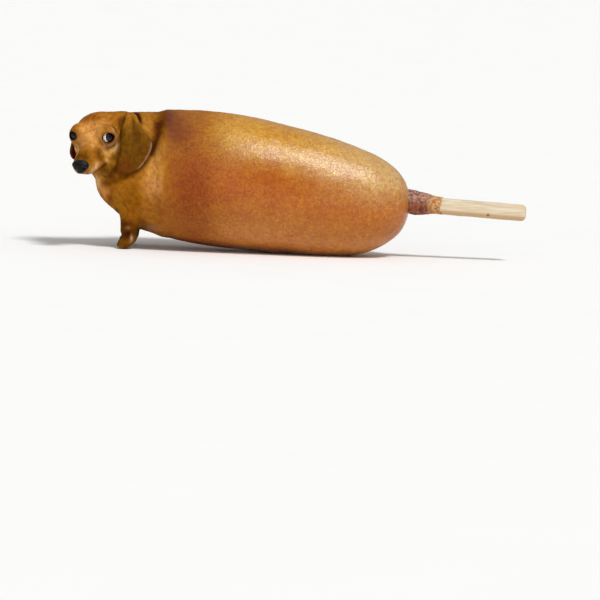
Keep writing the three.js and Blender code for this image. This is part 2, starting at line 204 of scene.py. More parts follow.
def along(table, at, column):
    """One column of a table on a smooth curve through its rows, which its first column places."""
    places, values = table[:, 0], table[:, column]
    last = len(places) - 1
    before, after = np.maximum(np.arange(last + 1) - 1, 0), np.minimum(np.arange(last + 1) + 1, last)
    slopes = (values[after] - values[before]) / (places[after] - places[before])
    i = np.clip(np.searchsorted(places, at) - 1, 0, last - 1)
    span = places[i + 1] - places[i]
    t = np.clip((at - places[i]) / span, 0, 1)
    curve = (values[i] * (1 + 2 * t) * (1 - t) ** 2 + values[i + 1] * (3 - 2 * t) * t ** 2
             + slopes[i] * span * t * (1 - t) ** 2 - slopes[i + 1] * span * t ** 2 * (1 - t))
    return curve + slopes[0] * np.minimum(at - places[0], 0)


def along_body(x, column):
    return along(STATIONS, x, column)


def body_radius(x):
    in_arc = np.clip((x - (BODY_END_X - END_LENGTH)) / END_LENGTH, 0, 1)
    return along_body(x, RADIUS) * (1 - in_arc ** END_FULLNESS) ** (1 / END_FULLNESS)


def core_field(p):
    """The batter with its rounded far end, which the chest grows from."""
    x, y, z = p
    out = np.hypot(y, z - along_body(x, AXIS))
    radius = body_radius(x)
    step = 0.1
    slope = (body_radius(x + step) - radius) / step
    side = (out - radius) / np.hypot(1, slope)
    end_radius = body_radius(SHOULDER_X)
    end_centre, end_radii = (SHOULDER_X + FAR_END_INSET, 0, 0), (FAR_END_DEPTH, end_radius, end_radius)
    end = ball([x, out, np.zeros_like(x)], end_centre, end_radii)
    return np.where(x < SHOULDER_X, end, side)


def from_head(p):
    """Head coordinates: forward, left, up."""
    return HEAD_AXES @ (p - HEAD_MIDDLE[:, None].astype(p.dtype))


def head_place(forward, left, up):
    return HEAD_MIDDLE + forward * FORWARD + left * LEFT + up * UP


def both_sides(p):
    """Places as if all lay on the positive side of the second axis, so that one side's forms serve both."""
    return [p[0], np.abs(p[1]), p[2]]


# ---------------- the dachshund's finer forms

FACE_FORMS = [
    ((0.2, 4.3, 2.8), (2, 1.9, 1.4), 1.6),  # brows
    ((2.4, 0, -1.7), (12.2, 0, -3.2), 1.8, 1.7, 2.2),  # bridge of the nose
    ((-2.4, 5.3, -2.8), (3, 1.9, 1.6), 1.6),  # cheekbones
    ((11, 1.4, -5.5), (11.9, 1.2, -5.4), 1.4, 1.1, 0.9),  # front of the upper lip
]
# Rods cut into the face and into the skin of the body; the last three numbers are the blend, how far
# the rod stays out, and how dark the painted shade inside it is, which along the mouth is also the lips' dark
# edge.
FACE_GROOVES = [
    ((1.8, 0, 2.9), (-4.2, 0, 5.2), 0.9, 0.9, 1.6, 0.5, 0.1),  # furrow between the brows
    ((4.4, 5.1, -7.8), (6.6, 4, -8.8), 0.25, 0.3, 0.5, 0, 0.6),  # corner of the mouth
    ((6.6, 4, -8.8), (9.2, 2.5, -8.7), 0.3, 0.3, 0.5, 0, 0.7),  # line of the mouth
    ((9.2, 2.5, -8.7), (12, 1.2, -7.5), 0.3, 0.25, 0.5, 0, 0.6),  # its front
    ((9, 0.4, -10.4), (13.2, 0.4, -8.6), 0.8, 0.8, 1, 0, 0.5),  # flat of the chin
    ((1.5, 5.8, -3.2), (-0.3, 7.1, -2.6), 0.3, 0.3, 0.8, 0, 0.55),  # fold under the eye
    ((-0.3, 7.1, -2.6), (-1.6, 7.8, -1.6), 0.3, 0.3, 0.8, 0, 0.5),  # its outer end
    ((-1.9, 5, 3.3), (-2.9, 6.9, 2), 0.25, 0.25, 0.8, 0, 0.45),  # fold over the eye
    ((-2.9, 6.9, 2), (-2.2, 7.7, 0.9), 0.25, 0.25, 0.8, 0, 0.45),  # its outer end
]
SKIN_GROOVES = [
    ((-72, -12.2, 44.2), (-71.8, -14.4, 40.9), 0.9, 0.7, 1.2, 0, 0.7),  # hollow in front of the near ear
    ((-68.7, -5, 46.6), (-66.3, -11.6, 43.6), 1.2, 0.9, 1.2, 0, 0.95),  # behind its root
    ((-77.4, -14.4, 24), (-74.9, -15.7, 24.3), 0.5, 0.6, 1, 0, 0.5),  # under the jowl
    ((-74.9, -15.7, 24.3), (-72.8, -16.6, 27.8), 0.6, 0.6, 1, 0, 0.6),  # behind it
]
EYE_DENT_BLEND, LID_BLEND, LID_EDGE_BLEND, NOSE_BLEND = 1, 2.4, 0.35, 0.3
LID_RADIUS = 2.38
LID_ARC, LID_OFFSET = 2.08, 0.52  # radius and offset of the arcs that bound the opening between the lids
LID_DEPTH = 0.8  # how far in front of the eye's centre that opening starts
RIGHT_LID_CLOSED = 0.35
EYE_FACING = np.array([0.841, 0.320, 0.421])  # how that opening faces, then its two other directions
EYE_ACROSS = np.array([-0.369, 0.929, 0.032])
EYE_UPRIGHT = np.cross(EYE_FACING, EYE_ACROSS)

TOES = [(-2.5, 0.75), (-0.85, 0), (0.85, 0), (2.5, 0.75)]  # sideways place, and how far each is set back
TOE_ENDS = [(0.8, 2.3), (-1.35, 1.05)]  # behind the toe's place, and height
TOE_RADII, TOE_BLEND = (1, 0.92), 0.4

# Creases of the skin: points in the XZ plane that each runs through, its width, depth and the darkness of the
# painted shade along it.
CREASES = [
    ([(-59.8, 42.5), (-60, 39.5), (-60.9, 35.5), (-61.9, 32.8)], 1.5, 0.45, 0.85),  # behind the neck
    ([(-74.5, 22.6), (-70.5, 24.2), (-66.5, 26.6), (-63, 30.5)], 1.2, 0.30, 0.45),  # below the ear
    ([(-64.6, 10.6), (-62.8, 8.2)], 1.1, 0.50, 0.3),  # behind the leg
]


def eye_opening(head):
    """The opening between the lids, in head coordinates; the right eye is more closed than the left."""
    q = both_sides(head)
    axes = (EYE_FACING, EYE_ACROSS, EYE_UPRIGHT)
    out, across, up = (sum((q[i] - EYE_CENTRE[i]) * axis[i] for i in range(3)) for axis in axes)
    arcs = [np.hypot(across, up + side * LID_OFFSET) - LID_ARC for side in (-1, 1)]
    closed = np.where(head[1] < 0, RIGHT_LID_CLOSED, 0)
    return np.maximum(np.maximum(*arcs) + closed, LID_DEPTH - out)


def mirrored_head(p):
    return both_sides(from_head(p))


def grooved(d, p, grooves):
    for *groove, blend, outside, _ in grooves:
        d = carved(d, rod(p, *groove) + outside, blend)
    return d


def head_field(p):
    q = mirrored_head(p)
    d = joined_forms(None, q, HEAD_FORMS)
    d = grooved(joined_forms(d, q, FACE_FORMS), q, FACE_GROOVES)
    d = carved(d, ball(q, EYE_DENT_CENTRE, EYE_DENT_RADII), EYE_DENT_BLEND)
    d = joined(d, ball(q, EYE_CENTRE, (LID_RADIUS,) * 3), LID_BLEND)
    d = carved(d, eye_opening(from_head(p)), LID_EDGE_BLEND)
    return carved(d, ball(q, NOSE_CENTRE, NOSE_RADII) + NOSE_SUNK, NOSE_BLEND)


def distance_to_line(x, z, points):
    """How far each place in the XZ plane is from a line through points."""
    nearest = np.full_like(x, np.inf)
    for (ax, az), (bx, bz) in zip(points, points[1:]):
        dx, dz = bx - ax, bz - az
        t = np.clip(((x - ax) * dx + (z - az) * dz) / (dx * dx + dz * dz), 0, 1)
        nearest = np.minimum(nearest, np.hypot(x - ax - dx * t, z - az - dz * t))
    return nearest


def leg_field(p):
    q = both_sides(p)
    leg = joined_forms(None, q, FORELEG_FORMS)
    for sideways, behind in TOES:
        x, y = TOES_CENTRE[0] + behind, TOES_CENTRE[1] + sideways
        ends = [(x + back, y, height) for back, height in TOE_ENDS]
        leg = joined(leg, rod(q, *ends, *TOE_RADII), TOE_BLEND)
    return leg


def ear_frame(ear):
    """Base, the three directions (towards the rear edge, up, towards the head) and the length."""
    base, tip, rearward = (np.array(value) for value in ear)
    length = np.linalg.norm(base - tip)
    up = (base - tip) / length
    across = rearward - up * (rearward @ up)
    across /= np.linalg.norm(across)
    normal = np.cross(across, up)
    head_core = head_place(*HEAD_FORMS[0][0])
    return base, across, up, -math.copysign(1, normal @ (base - head_core)) * normal, length


def ear_pleats(reach, inside):
    """Folds that fan out from an ear's root, from -1 in their valleys to 1."""
    width = EAR["pleat_width"] + EAR["pleat_spread"] * inside
    return np.cos(2 * math.pi * (reach + 0.9) / width) * smooth(0.65, 0.15, inside)


def ear_place(p, ear):
    """An ear's own coordinates: reach, share of its length, depth from its middle, distance past its edge."""
    base, across, up, inward, length = ear_frame(ear)
    from_base = [p[i] - base[i] for i in range(3)]
    reach, height, depth = (sum(from_base[i] * axis[i] for i in range(3)) for axis in (across, up, inward))
    share = np.clip(-height / length, -0.2, 1.2)
    inside = np.clip(share, 0, 1)
    front, rear = along(EAR_OUTLINE, inside, FRONT), along(EAR_OUTLINE, inside, REAR)
    into_top, into_tip = 1 - share / EAR["round_top"], (share - EAR["round_tip"]) / (1 - EAR["round_tip"])
    u = np.maximum(np.maximum(into_top, into_tip), 0)
    scale_u = length * np.where(share < 0.5, EAR["round_top"], 1 - EAR["round_tip"])
    scale_v = (front + rear) / 2
    v = np.abs(reach - (rear - front) / 2) / scale_v
    near = np.hypot(u, v) + 1e-9
    edge = near * (near - 1) / np.maximum(np.hypot(u / scale_u, v / scale_v), 1e-9)
    folded = 1 - np.clip(inside / EAR["fold_share"], 0, 1)
    turned_out = EAR["turn_out"] * smooth(-1.7, -0.2, edge) * smooth(0, 2.5, reach) * smooth(0.4, 0.6, inside)
    middle = (EAR["curl"] * reach ** 2 + EAR["fold"] * folded ** 2 - EAR["bow"] * 4 * inside * (1 - inside)
              - EAR["pleat"] * ear_pleats(reach, inside) - turned_out)
    return reach, share, depth - middle, edge


def ear_field(p, ear):
    _, share, depth, edge = ear_place(p, ear)
    half = EAR["thickness"] / 2 * (1 + 0.5 * smooth(0.35, 0, share))
    return np.hypot(np.maximum(edge + half, 0), depth) - half, share


def skin_field(p):
    """The whole outside of the dachshund and the batter as one surface."""
    d = joined_forms(core_field(p), p, BODY_FORMS)
    d = joined(d, leg_field(p), FORELEG_BLEND)
    d = grooved(joined(d, head_field(p), HEAD_BLEND), p, SKIN_GROOVES)
    for points, width, depth, _ in CREASES:
        d = d + depth * np.exp(-(distance_to_line(p[0], p[2], points) / width) ** 2)
    for ear in EARS:
        flap, share = ear_field(p, ear)
        d = joined(d, flap, EAR_BLEND + EAR_ROOT_BLEND * smooth(0.25, 0, share))
    return d


# ---------------- noise

CORNERS = [(i, j, k) for i in (0, 1) for j in (0, 1) for k in (0, 1)]
LATTICE_SHIFT = 1000  # keeps the whole places of the noise positive


def lattice(i, j, k, seed):
    """A repeatable random number from -1 to 1 for each whole place."""
    h = (i * 374761393 + j * 668265263 + k * 2147483647 + seed * 974634777) & 0xFFFFFFFF
    h = ((h ^ (h >> 13)) * 1274126177) & 0xFFFFFFFF
    return ((h ^ (h >> 16)) & 0xFFFF) / 32767.5 - 1


def noise(p, size, seed):
    """Smooth noise from -1 to 1 whose lumps are about size mm across."""
    scaled = [np.asarray(row, float) / size + LATTICE_SHIFT for row in p]
    whole = [np.floor(row).astype(np.int64) for row in scaled]
    part = [row - base for row, base in zip(scaled, whole)]
    fx, fy, fz = (t * t * (3 - 2 * t) for t in part)
    total = 0
    for dx, dy, dz in CORNERS:
        weight = (fx if dx else 1 - fx) * (fy if dy else 1 - fy) * (fz if dz else 1 - fz)
        total = total + weight * lattice(whole[0] + dx, whole[1] + dy, whole[2] + dz, seed)
    return total


def lumps(p, table):
    """Noises added up, each given by its height, size and seed."""
    return sum(height * noise(p, size, seed) for height, size, seed in table)


def streaks(p, flow, size, length, seed, steps=7):
    """Noise drawn out along flow, as hairs lie."""
    total = 0
    for step in np.linspace(-0.5, 0.5, steps):
        total = total + noise([p[i] + flow[i] * step * length for i in range(3)], size, seed)
    return total / math.sqrt(steps)


# ---------------- surfaces from fields

STEPS = np.eye(3, dtype=int)


def fill_pinches(values, depth):
    """Fills grid squares with corners inside and outside by turns; a surface would touch itself there."""
    filled = True
    while filled:
        filled = False
        for b, c in ((0, 1), (1, 2), (0, 2)):
            inside = values < 0
            corners = [0 * STEPS[b], STEPS[c], STEPS[b], STEPS[b] + STEPS[c]]
            size = np.array(inside.shape) - corners[3]
            parts = [inside[tuple(slice(o, o + n) for o, n in zip(corner, size))] for corner in corners]
            pinched = (parts[0] == parts[3]) & (parts[1] == parts[2]) & (parts[0] != parts[1])
            for place in np.argwhere(pinched):
                square = [tuple(place + corner) for corner in corners]
                outside = [at for at in square if values[at] >= 0]
                if len(outside) == 2:
                    values[min(outside, key=lambda at: values[at])] = -depth
                    filled = True


def surface_net(field, low, high, cell):
    """Points (three rows) and quads of the surface where field is 0, one point in each cell it crosses."""
    axes = [np.arange(low[i], high[i] + cell, cell, dtype=np.float32) for i in range(3)]
    shape = tuple(len(axis) for axis in axes)
    values = np.empty(shape, np.float32)
    layers = max(1, int(6e5 / (shape[1] * shape[2])))
    for start in range(0, shape[0], layers):
        block = np.meshgrid(axes[0][start:start + layers], axes[1], axes[2], indexing="ij")
        flat = np.stack([part.ravel() for part in block])
        values[start:start + layers] = field(flat).reshape(block[0].shape)
    fill_pinches(values, cell / 8)

    inside = values < 0

    def shifted(array, offset):
        return array[tuple(slice(o, n - 1 + o) for o, n in zip(offset, shape))]

    count = sum(shifted(inside, offset).astype(np.int8) for offset in CORNERS)
    cells = np.argwhere((count > 0) & (count < 8))
    corner = {offset: values[tuple((cells + offset).T)] for offset in CORNERS}
    total, crossings = np.zeros(cells.shape), np.zeros(len(cells))
    for offset in CORNERS:
        for axis in range(3):
            if offset[axis]:
                continue
            other = tuple(o + (n == axis) for n, o in enumerate(offset))
            a, b = corner[offset], corner[other]
            cut = (a < 0) != (b < 0)
            t = np.where(cut, a / np.where(cut, a - b, 1), 0)
            for n in range(3):
                total[:, n] += cut * (offset[n] + (t if n == axis else 0))
            crossings += cut
    points = np.array(low)[:, None] + (cells + total / crossings[:, None]).T * cell

    number = np.full(shape, -1, np.int32)
    number[tuple(cells.T)] = np.arange(len(cells))
    quads = []
    for axis in range(3):
        b, c = (axis + 1) % 3, (axis + 2) % 3
        near = [slice(1, None)] * 3
        near[axis] = slice(0, -1)
        far = list(near)
        far[axis] = slice(1, None)
        places = np.argwhere(inside[tuple(near)] != inside[tuple(far)])
        places += STEPS[b] + STEPS[c]
        ring_steps = (0 * STEPS[b], STEPS[b], STEPS[b] + STEPS[c], STEPS[c])
        ring = np.stack([number[tuple((places - step).T)] for step in ring_steps], axis=1)
        outward = inside[tuple(places.T)]
        ring[~outward] = ring[~outward][:, ::-1]
        quads.append(ring)
    return settled(field, points, cell / 2), np.concatenate(quads)


def gradient(field, p, step=0.02):
    """The field's slope at each point, by small steps both ways."""
    rows = []
    for axis in range(3):
        ahead, behind = p.copy(), p.copy()
        ahead[axis] += step
        behind[axis] -= step
        rows.append((field(ahead) - field(behind)) / (2 * step))
    return np.array(rows)


def settled(field, p, most, rounds=3):
    """Moves points onto the surface where field is 0, by no more than most mm each time."""
    p = np.array(p, float)
    for _ in range(rounds):
        slope = gradient(field, p)
        steepness = np.sum(slope ** 2, axis=0)
        step = -field(p) * slope / np.maximum(steepness, 0.05)
        size = np.linalg.norm(step, axis=0)
        p += step * np.minimum(1, most / np.maximum(size, 1e-9))
    return p


def outward(field, p):
    slope = gradient(field, p)
    return slope / np.maximum(np.linalg.norm(slope, axis=0), 1e-6)


# ---------------- colours and meshes


def colour(name):
    """A hex colour as linear red, green and blue."""
    parts = np.array([int(name[i:i + 2], 16) / 255 for i in (0, 2, 4)])
    return np.where(parts <= 0.04045, parts / 12.92, ((parts + 0.055) / 1.055) ** 2.4)


def mesh_piece(name, points, faces, material, slot, *nodes, attributes=None):
    """A smooth mesh of points (three rows, mm) that rides on the root and stands for the CAD nodes named."""
    mesh = bpy.data.meshes.new(name)
    mesh.from_pydata((points.T * MM).tolist(), [], [list(map(int, face)) for face in faces])
    mesh.polygons.foreach_set("use_smooth", np.ones(len(mesh.polygons), bool))
    for key, value in (attributes or {}).items():
        value = np.asarray(value, np.float32)
        if value.ndim == 1:
            mesh.attributes.new(key, "FLOAT", "POINT").data.foreach_set("value", value)
        else:
            rgba = np.concatenate([value, np.ones((1, value.shape[1]))]).T.astype(np.float32)
            mesh.attributes.new(key, "FLOAT_COLOR", "POINT").data.foreach_set("color", rgba.ravel())
    mesh.update()
    mesh.materials.append(material)
    piece = add_object(name, mesh)
    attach(piece, "root")
    if nodes:
        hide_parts(*nodes)
    return piece


class Shader:
    """Builds a Principled material from nodes, with short calls for the common ones."""

    def __init__(self, name, **sockets):
        self.material = bpy.data.materials.new(name)
        self.material.use_nodes = True
        self.tree = self.material.node_tree
        self.surface = self.tree.nodes["Principled BSDF"]
        self.finish(**sockets)

    def node(self, kind, inputs=None, **settings):
        node = self.tree.nodes.new("ShaderNode" + kind)
        for key, value in settings.items():
            setattr(node, key, value)
        for key, value in (inputs or {}).items():
            self.feed(node.inputs[key], value)
        return node

    def feed(self, socket, value):
        if isinstance(value, bpy.types.NodeSocket):
            self.tree.links.new(value, socket)
        else:
            socket.default_value = value

    def place(self):
        return self.node("TexCoord").outputs["Object"]

    def attribute(self, name, output="Fac"):
        return self.node("Attribute", attribute_name=name).outputs[output]

    def noise(self, size, detail=2, roughness=0.5, place=None):
        """Noise from 0 to 1 whose lumps are about size mm across."""
        inputs = {"Vector": place or self.place(), "Scale": 1 / (size * MM), "Detail": detail,
                  "Roughness": roughness}
        return self.node("TexNoise", inputs).outputs["Fac"]

    def stretched(self, x, y, z):
        """Object coordinates drawn out, so that a pattern is that many times longer each way."""
        inputs = {"Vector": self.place(), "Scale": (1 / x, 1 / y, 1 / z)}
        return self.node("Mapping", inputs).outputs["Vector"]

    def ranged(self, value, low, high, to_low=0, to_high=1):
        inputs = {"Value": value, "From Min": low, "From Max": high, "To Min": to_low, "To Max": to_high}
        return self.node("MapRange", inputs, interpolation_type="SMOOTHSTEP").outputs["Result"]

    def math(self, operation, a, b):
        node = self.node("Math", operation=operation)
        self.feed(node.inputs[0], a)
        self.feed(node.inputs[1], b)
        return node.outputs[0]

    def mixed(self, amount, a, b, blend="MIX"):
        node = self.node("Mix", data_type="RGBA", blend_type=blend)
        for index, value in ((0, amount), (6, a), (7, b)):
            if isinstance(value, str):
                value = (*colour(value), 1)
            self.feed(node.inputs[index], value)
        return node.outputs[2]

    def bump(self, height, distance, strength=1, normal=None):
        inputs = {"Height": height, "Distance": distance * MM, "Strength": strength}
        if normal is not None:
            inputs["Normal"] = normal
        return self.node("Bump", inputs).outputs["Normal"]

    def finish(self, **links):
        for key, value in links.items():
            self.feed(self.surface.inputs[key.replace("_", " ")], value)
        return self.material


# ---------------- how the skin is coloured

# The skin's colours are given as they look under the lights, until as_base turns them into the shader's.
# These tones hold painted light: the lower side is brightened, and the dark bottom edge is painted shade.
BATTER_TONES = [  # height over the axis as a share of the radius, and the colour there
    (-1, "6a3a1c"), (-0.95, "b4703a"), (-0.85, "c68042"), (-0.5, "bd7636"), (-0.1, "b6682e"),
    (0.2, "b2652c"), (0.38, "b87838"), (0.55, "c08c40"), (0.75, "cc963f"), (1, "c98f3e"),
]
# Paler towards the stick on the upper half: partly the crust's colour, partly a painted highlight.
STICK_END_AND_HIGHLIGHT = "d0aa76"
COAT = "a2691f"
# Painted shade: the colours creases and grooves are darkened towards, and how far a groove's shade fades.
CREASE_SHADE, GROOVE_SHADE = "481a05", "3a1204"
GROOVE_SHADE_FADE = 0.6  # mm from a groove
LID_SKIN, LID_EDGE = "c8987c", "140806"

# Soft patches of colour on the skin: centre, radii, hex colour and strength. Those on the body lie
# alike on both flanks, and those on the head are in head coordinates.
BODY_PATCHES = [
    ((-46.5, 12, 20), (9, 60, 50), "97531f", 0.85),  # darker crust behind the shoulder
    ((-48, 22, 22), (5.5, 14, 7), "90441a", 0.4),
    ((-52, 14, 40), (5.5, 12, 7), "7c400e", 0.8),  # dark top of the shoulder
    ((-57.5, 9, 44.6), (4.2, 11, 6), "5c2c0a", 0.85),
    ((-63.6, 10.5, 41), (3, 9, 6), "b47c30", 0.85),  # golden band round the neck
    ((-68.9, 5, 46.8), (1.3, 3.5, 1.3), "2c1404", 0.9),  # shade behind the root of the ear
    ((-60.3, 18, 29.6), (2.8, 9, 6.5), "e8a654", 0.92),  # golden chest
    ((-60.2, 21, 22), (3.6, 8, 4.4), "e09c5c", 0.8),
    ((-57, 21, 14), (4, 12, 8), "a8652c", 0.6),
    ((-66.5, 15, 17), (3.8, 8, 6.5), "94580f", 0.7),  # olive flank above the leg
    ((-72.6, 10, 15.6), (2.4, 6, 3.6), "b4761c", 0.8),  # ochre breast
    ((-70, 12, 12.4), (2.2, 6, 3), "a86c1a", 0.7),
    ((-71.6, 17.5, 22), (3, 6, 2.6), "b06c22", 0.7),  # orange under the ear
    ((-76.6, 11, 22.4), (2.2, 5, 2.4), "7c3e08", 0.75),  # shade under the jowl
    # The pale throat is its own colour, made paler as painted light; the next patch is a painted highlight.
    ((-79.4, 7, 22.4), (1.5, 5, 3.2), "f0c07c", 0.92),  # pale throat
    ((-77, 9, 18.8), (1.8, 5, 2), "e89c58", 0.92),
    ((-74.8, 10, 16.9), (1.2, 6, 1.8), "6e2f0a", 0.8),  # reddish front edge
    ((-72.6, 8, 12.4), (0.9, 6, 1.6), "74300a", 0.8),
    ((-68.6, 10.5, 8.6), (4.2, 6, 2.2), "4c2206", 0.92),  # foreleg
    ((-68.4, 9.6, 4.8), (4, 6, 3.6), "3c1a04", 0.97),
    ((-68.2, 11.8, 5.4), (1.4, 3, 1.8), "401604", 0.85),  # its reddish middle
    ((-68.6, 12, 7.3), (0.9, 2, 0.6), "9a6a44", 0.7),
    ((-67.2, 12.1, 3.6), (0.5, 3, 1.3), "c8a078", 0.75),  # pale streak down its back
    ((-70, 9.6, 1.4), (3, 5, 1.8), "3e280e", 0.85),  # paw
    ((-64.6, 8, 6.4), (1.4, 7, 1.8), "160c04", 0.9),  # shade behind the leg
    # Painted sheen: the chest's underside is paler and greyish.
    ((-60.8, 10, 7.2), (3, 8, 1.6), "a0745a", 0.75),  # pale underside of the chest
    ((-67, 15, 12.5), (3, 8, 3), "a8641e", 0.7),  # golden over the leg
    ((-62.4, 18, 12.6), (2.6, 8, 3.6), "b06e2c", 0.75),
]
HEAD_PATCHES = [
    ((-7.4, 0, 5), (4.2, 7.5, 2.4), "b0702a", 0.85),  # crown
    ((-4.1, 3.9, 3.7), (1.7, 1.7, 1.4), "c88848", 0.75),
    ((-1.2, 1.6, 3.6), (3.2, 3.2, 2.4), "d8954a", 0.9),  # forehead
    ((-5.4, 0.9, 4.5), (1.4, 1.1, 1.2), "8a4600", 0.75),
    ((-0.5, 0.8, 3), (1.6, 0.4, 1.2), "b4703a", 0.5),
    ((1.8, 0.6, 1.4), (3, 2.6, 2.6), "e0a45c", 0.85),  # between the eyes
    ((0.9, 3.2, 2.6), (1.6, 1.3, 1.2), "f4b668", 0.75),
    ((4.8, 1.4, -0.5), (2.2, 1.5, 1), "e0a25c", 0.6),
    # Painted shade on the side of the bridge.
    ((4.4, 2.9, -1.2), (2.2, 1.2, 1.4), "c08644", 0.7),  # side of the bridge
    ((6.3, 2.5, -1.7), (0.8, 0.6, 0.7), "8a5a14", 0.8),
    # Painted shade down the side of the muzzle.
    ((6, 3.9, -4.1), (1.9, 1.3, 2.6), "6a4008", 0.94),  # brown streak down the cheek
    ((11.8, 0.3, -2.1), (2.6, 2.1, 1.7), "220c02", 0.97),  # above the nose
    ((9.9, 3.2, -6.2), (2, 1.6, 1.6), "e4aa62", 0.95),  # muzzle
    ((9.9, 3.4, -6.3), (1.8, 1.1, 1.1), "fcd49c", 0.9),
    ((11.2, 2.2, -6.9), (1.9, 1.2, 1), "dccab0", 0.9),  # lip
    ((2.2, 5, -3.8), (1.5, 1.3, 1.6), "e4b060", 0.85),  # cheek
    # Painted light: the pale streak on the cheek from the eye to the mouth.
    ((-0.8, 7.7, -3.5), (1.5, 1.3, 1.8), "fccc80", 0.95),  # pale streak from the eye to the mouth
    ((1.2, 6.4, -4.4), (1.3, 1.1, 1.5), "ecb467", 0.85),
    ((3.4, 5.6, -6.8), (1, 0.9, 0.9), "e8b874", 0.75),
    # Painted shade in the hollow behind the mouth.
    ((1, 7.5, -6.9), (1.1, 1, 1.3), "74500f", 0.85),  # hollow behind the mouth
    ((3.9, 5.6, -10), (2.8, 3, 2.2), "654315", 0.92),  # jowl
    ((4.4, 5.5, -12.4), (1.8, 1.8, 0.7), "a46c44", 0.8),
    # Painted shade under the jaw.
    ((8.5, 1, -9.8), (3, 3, 1), "4a2c1a", 0.9),  # underside of the jaw
    ((1.9, 4.9, -2.3), (1.2, 0.9, 0.7), "d09870", 0.7),  # bare skin under and over the eye
    ((-1, 6.3, 2.3), (1.3, 1.4, 0.8), "dca67c", 0.8),
]
RIGHT_PATCHES = [  # on the head's right side only
    ((-5.5, -2.8, 4.2), (3, 2.2, 1.6), "8a4c16", 0.75),
    # Painted highlight along the bridge's right edge.
    ((8.8, -2.8, -2.1), (3.2, 0.7, 0.8), "e8b89c", 0.8),  # pale edge of the bridge
    ((3.6, -2.2, -0.4), (1.6, 1.2, 1.2), "e4a560", 0.6),
]
# The ears' rim and pleat ridges are painted light; the pleat valleys and the skin beside the ears painted
# shade.
EAR_TONES = {"face": "6c4614", "low": "723f18", "lit_rim": "b48a6c", "top": "ac7626", "inner": "581c06",
             "lit_ridge": "966424", "shaded_valley": "3c2004", "shade": "5a2e08"}
GAIN = 1.18  # what the lights multiply a colour by
GLOSS = {"coat": 0.08, "crust": 0.4}  # specular levels of the skin's two materials
SHEEN = {"coat": 0.007, "crust": 0.028}  # the white that the lights add to each


def as_base(tone, skin):
    return np.maximum((tone - SHEEN[skin]) / GAIN, 0.001)


def towards(tone, hex_name, weight):
    return tone * (1 - weight) + colour(hex_name)[:, None] * weight


def patched(tone, p, patches):
    for centre, radii, hex_name, strength in patches:
        away = sum(((p[i] - centre[i]) / radii[i]) ** 2 for i in range(3))
        tone = towards(tone, hex_name, strength * np.exp(-away))
    return tone


def fried_share(p):
    """0 on the coat and 1 on the batter, with a ragged border between them."""
    ragged = p[0] + 1.6 * noise(p, 3, 11) + 0.7 * noise(p, 1.1, 12)
    return smooth(-61, -45, ragged)


def batter_tone(p):
    """The batter's colour: ochre on top, redder in the middle, and dark at the bottom edge as painted shade.
    """
    x, y, z = p
    height = np.clip((z - along_body(x, AXIS)) / along_body(x, RADIUS), -1, 1) + 0.06 * noise(p, 5, 21)
    levels = [level for level, _ in BATTER_TONES]
    table = np.array([colour(hex_name) for _, hex_name in BATTER_TONES]).T
    tone = np.array([np.interp(height, levels, row) for row in table])
    # paler towards the stick on the upper half, partly a painted highlight
    return towards(tone, STICK_END_AND_HIGHLIGHT, 0.75 * smooth(-20, 18, x) * smooth(-0.25, 0.5, height))


def ear_tone(tone, p):
    """Lays the ears' colours over the skin's: painted light on rims and pleat ridges, painted shade in the
    valleys and beside them.
    """
    for ear in EARS:
        reach, share, depth, edge = ear_place(p, ear)
        flap, _ = ear_field(p, ear)
        pleats = ear_pleats(reach, np.clip(share, 0, 1))
        layers = [
            ("face", 1),
            ("low", smooth(0.6, 0.95, share) * smooth(1, -2, reach)),
            ("top", smooth(0.40, 0.08, share)),
            ("lit_ridge", 0.75 * np.maximum(pleats, 0)),
            ("shaded_valley", 0.75 * np.maximum(-pleats, 0)),
            ("inner", 0.8 * smooth(0.2, 0.6, depth)),
            ("lit_rim", 0.8 * smooth(-0.9, -0.3, edge) * smooth(0.5, 3, reach) * smooth(0.45, 0.6, share)),
        ]
        face = 0 * tone
        for name, weight in layers:
            face = towards(face, EAR_TONES[name], weight)
        # Painted shade on the skin behind and below each ear.
        beside = np.maximum(smooth(-2, 1, reach), smooth(0.85, 1, share))
        shade = 0.55 * beside * smooth(2.3, 0.4, flap) * smooth(0.35, 0.6, share)
        tone = towards(tone, EAR_TONES["shade"], shade)
        on_ear = smooth(0.35, 0.05, flap) * smooth(0.02, 0.2, share)
        tone = tone * (1 - on_ear) + face * on_ear
    return tone


def skin_tone(p, field_p):
    """How the skin looks at p; field_p are the same places before any relief was added."""
    tone = towards(batter_tone(p), COAT, 1 - fried_share(p))
    tone = patched(tone, both_sides(p), BODY_PATCHES)
    q = mirrored_head(field_p)
    tone = patched(tone, q, HEAD_PATCHES)
    tone = patched(tone, from_head(field_p), RIGHT_PATCHES)
    # Painted shade in the creases and grooves.
    for points, width, _, dark in CREASES:
        away = distance_to_line(p[0], p[2], points)
        tone = towards(tone, CREASE_SHADE, dark * np.exp(-(away / width) ** 2))
    for place, grooves in ((q, FACE_GROOVES), (field_p, SKIN_GROOVES)):
        for *groove, _, _, dark in grooves:
            away = np.maximum(rod(place, *groove), 0)
            tone = towards(tone, GROOVE_SHADE, dark * np.exp(-(away / GROOVE_SHADE_FADE) ** 2))
    tone = ear_tone(tone, field_p)
    opening = eye_opening(from_head(field_p))
    near_eye = ball(q, EYE_CENTRE, (LID_RADIUS + 0.6,) * 3)
    lid = 0.3 * smooth(1.6, 1, opening) * smooth(0.5, 0.8, opening) * smooth(0.8, 0, near_eye)
    lid_edge = 0.97 * smooth(0.65, 0.25, opening) * smooth(0.3, -0.2, near_eye)
    return towards(towards(tone, LID_SKIN, lid), LID_EDGE, lid_edge)


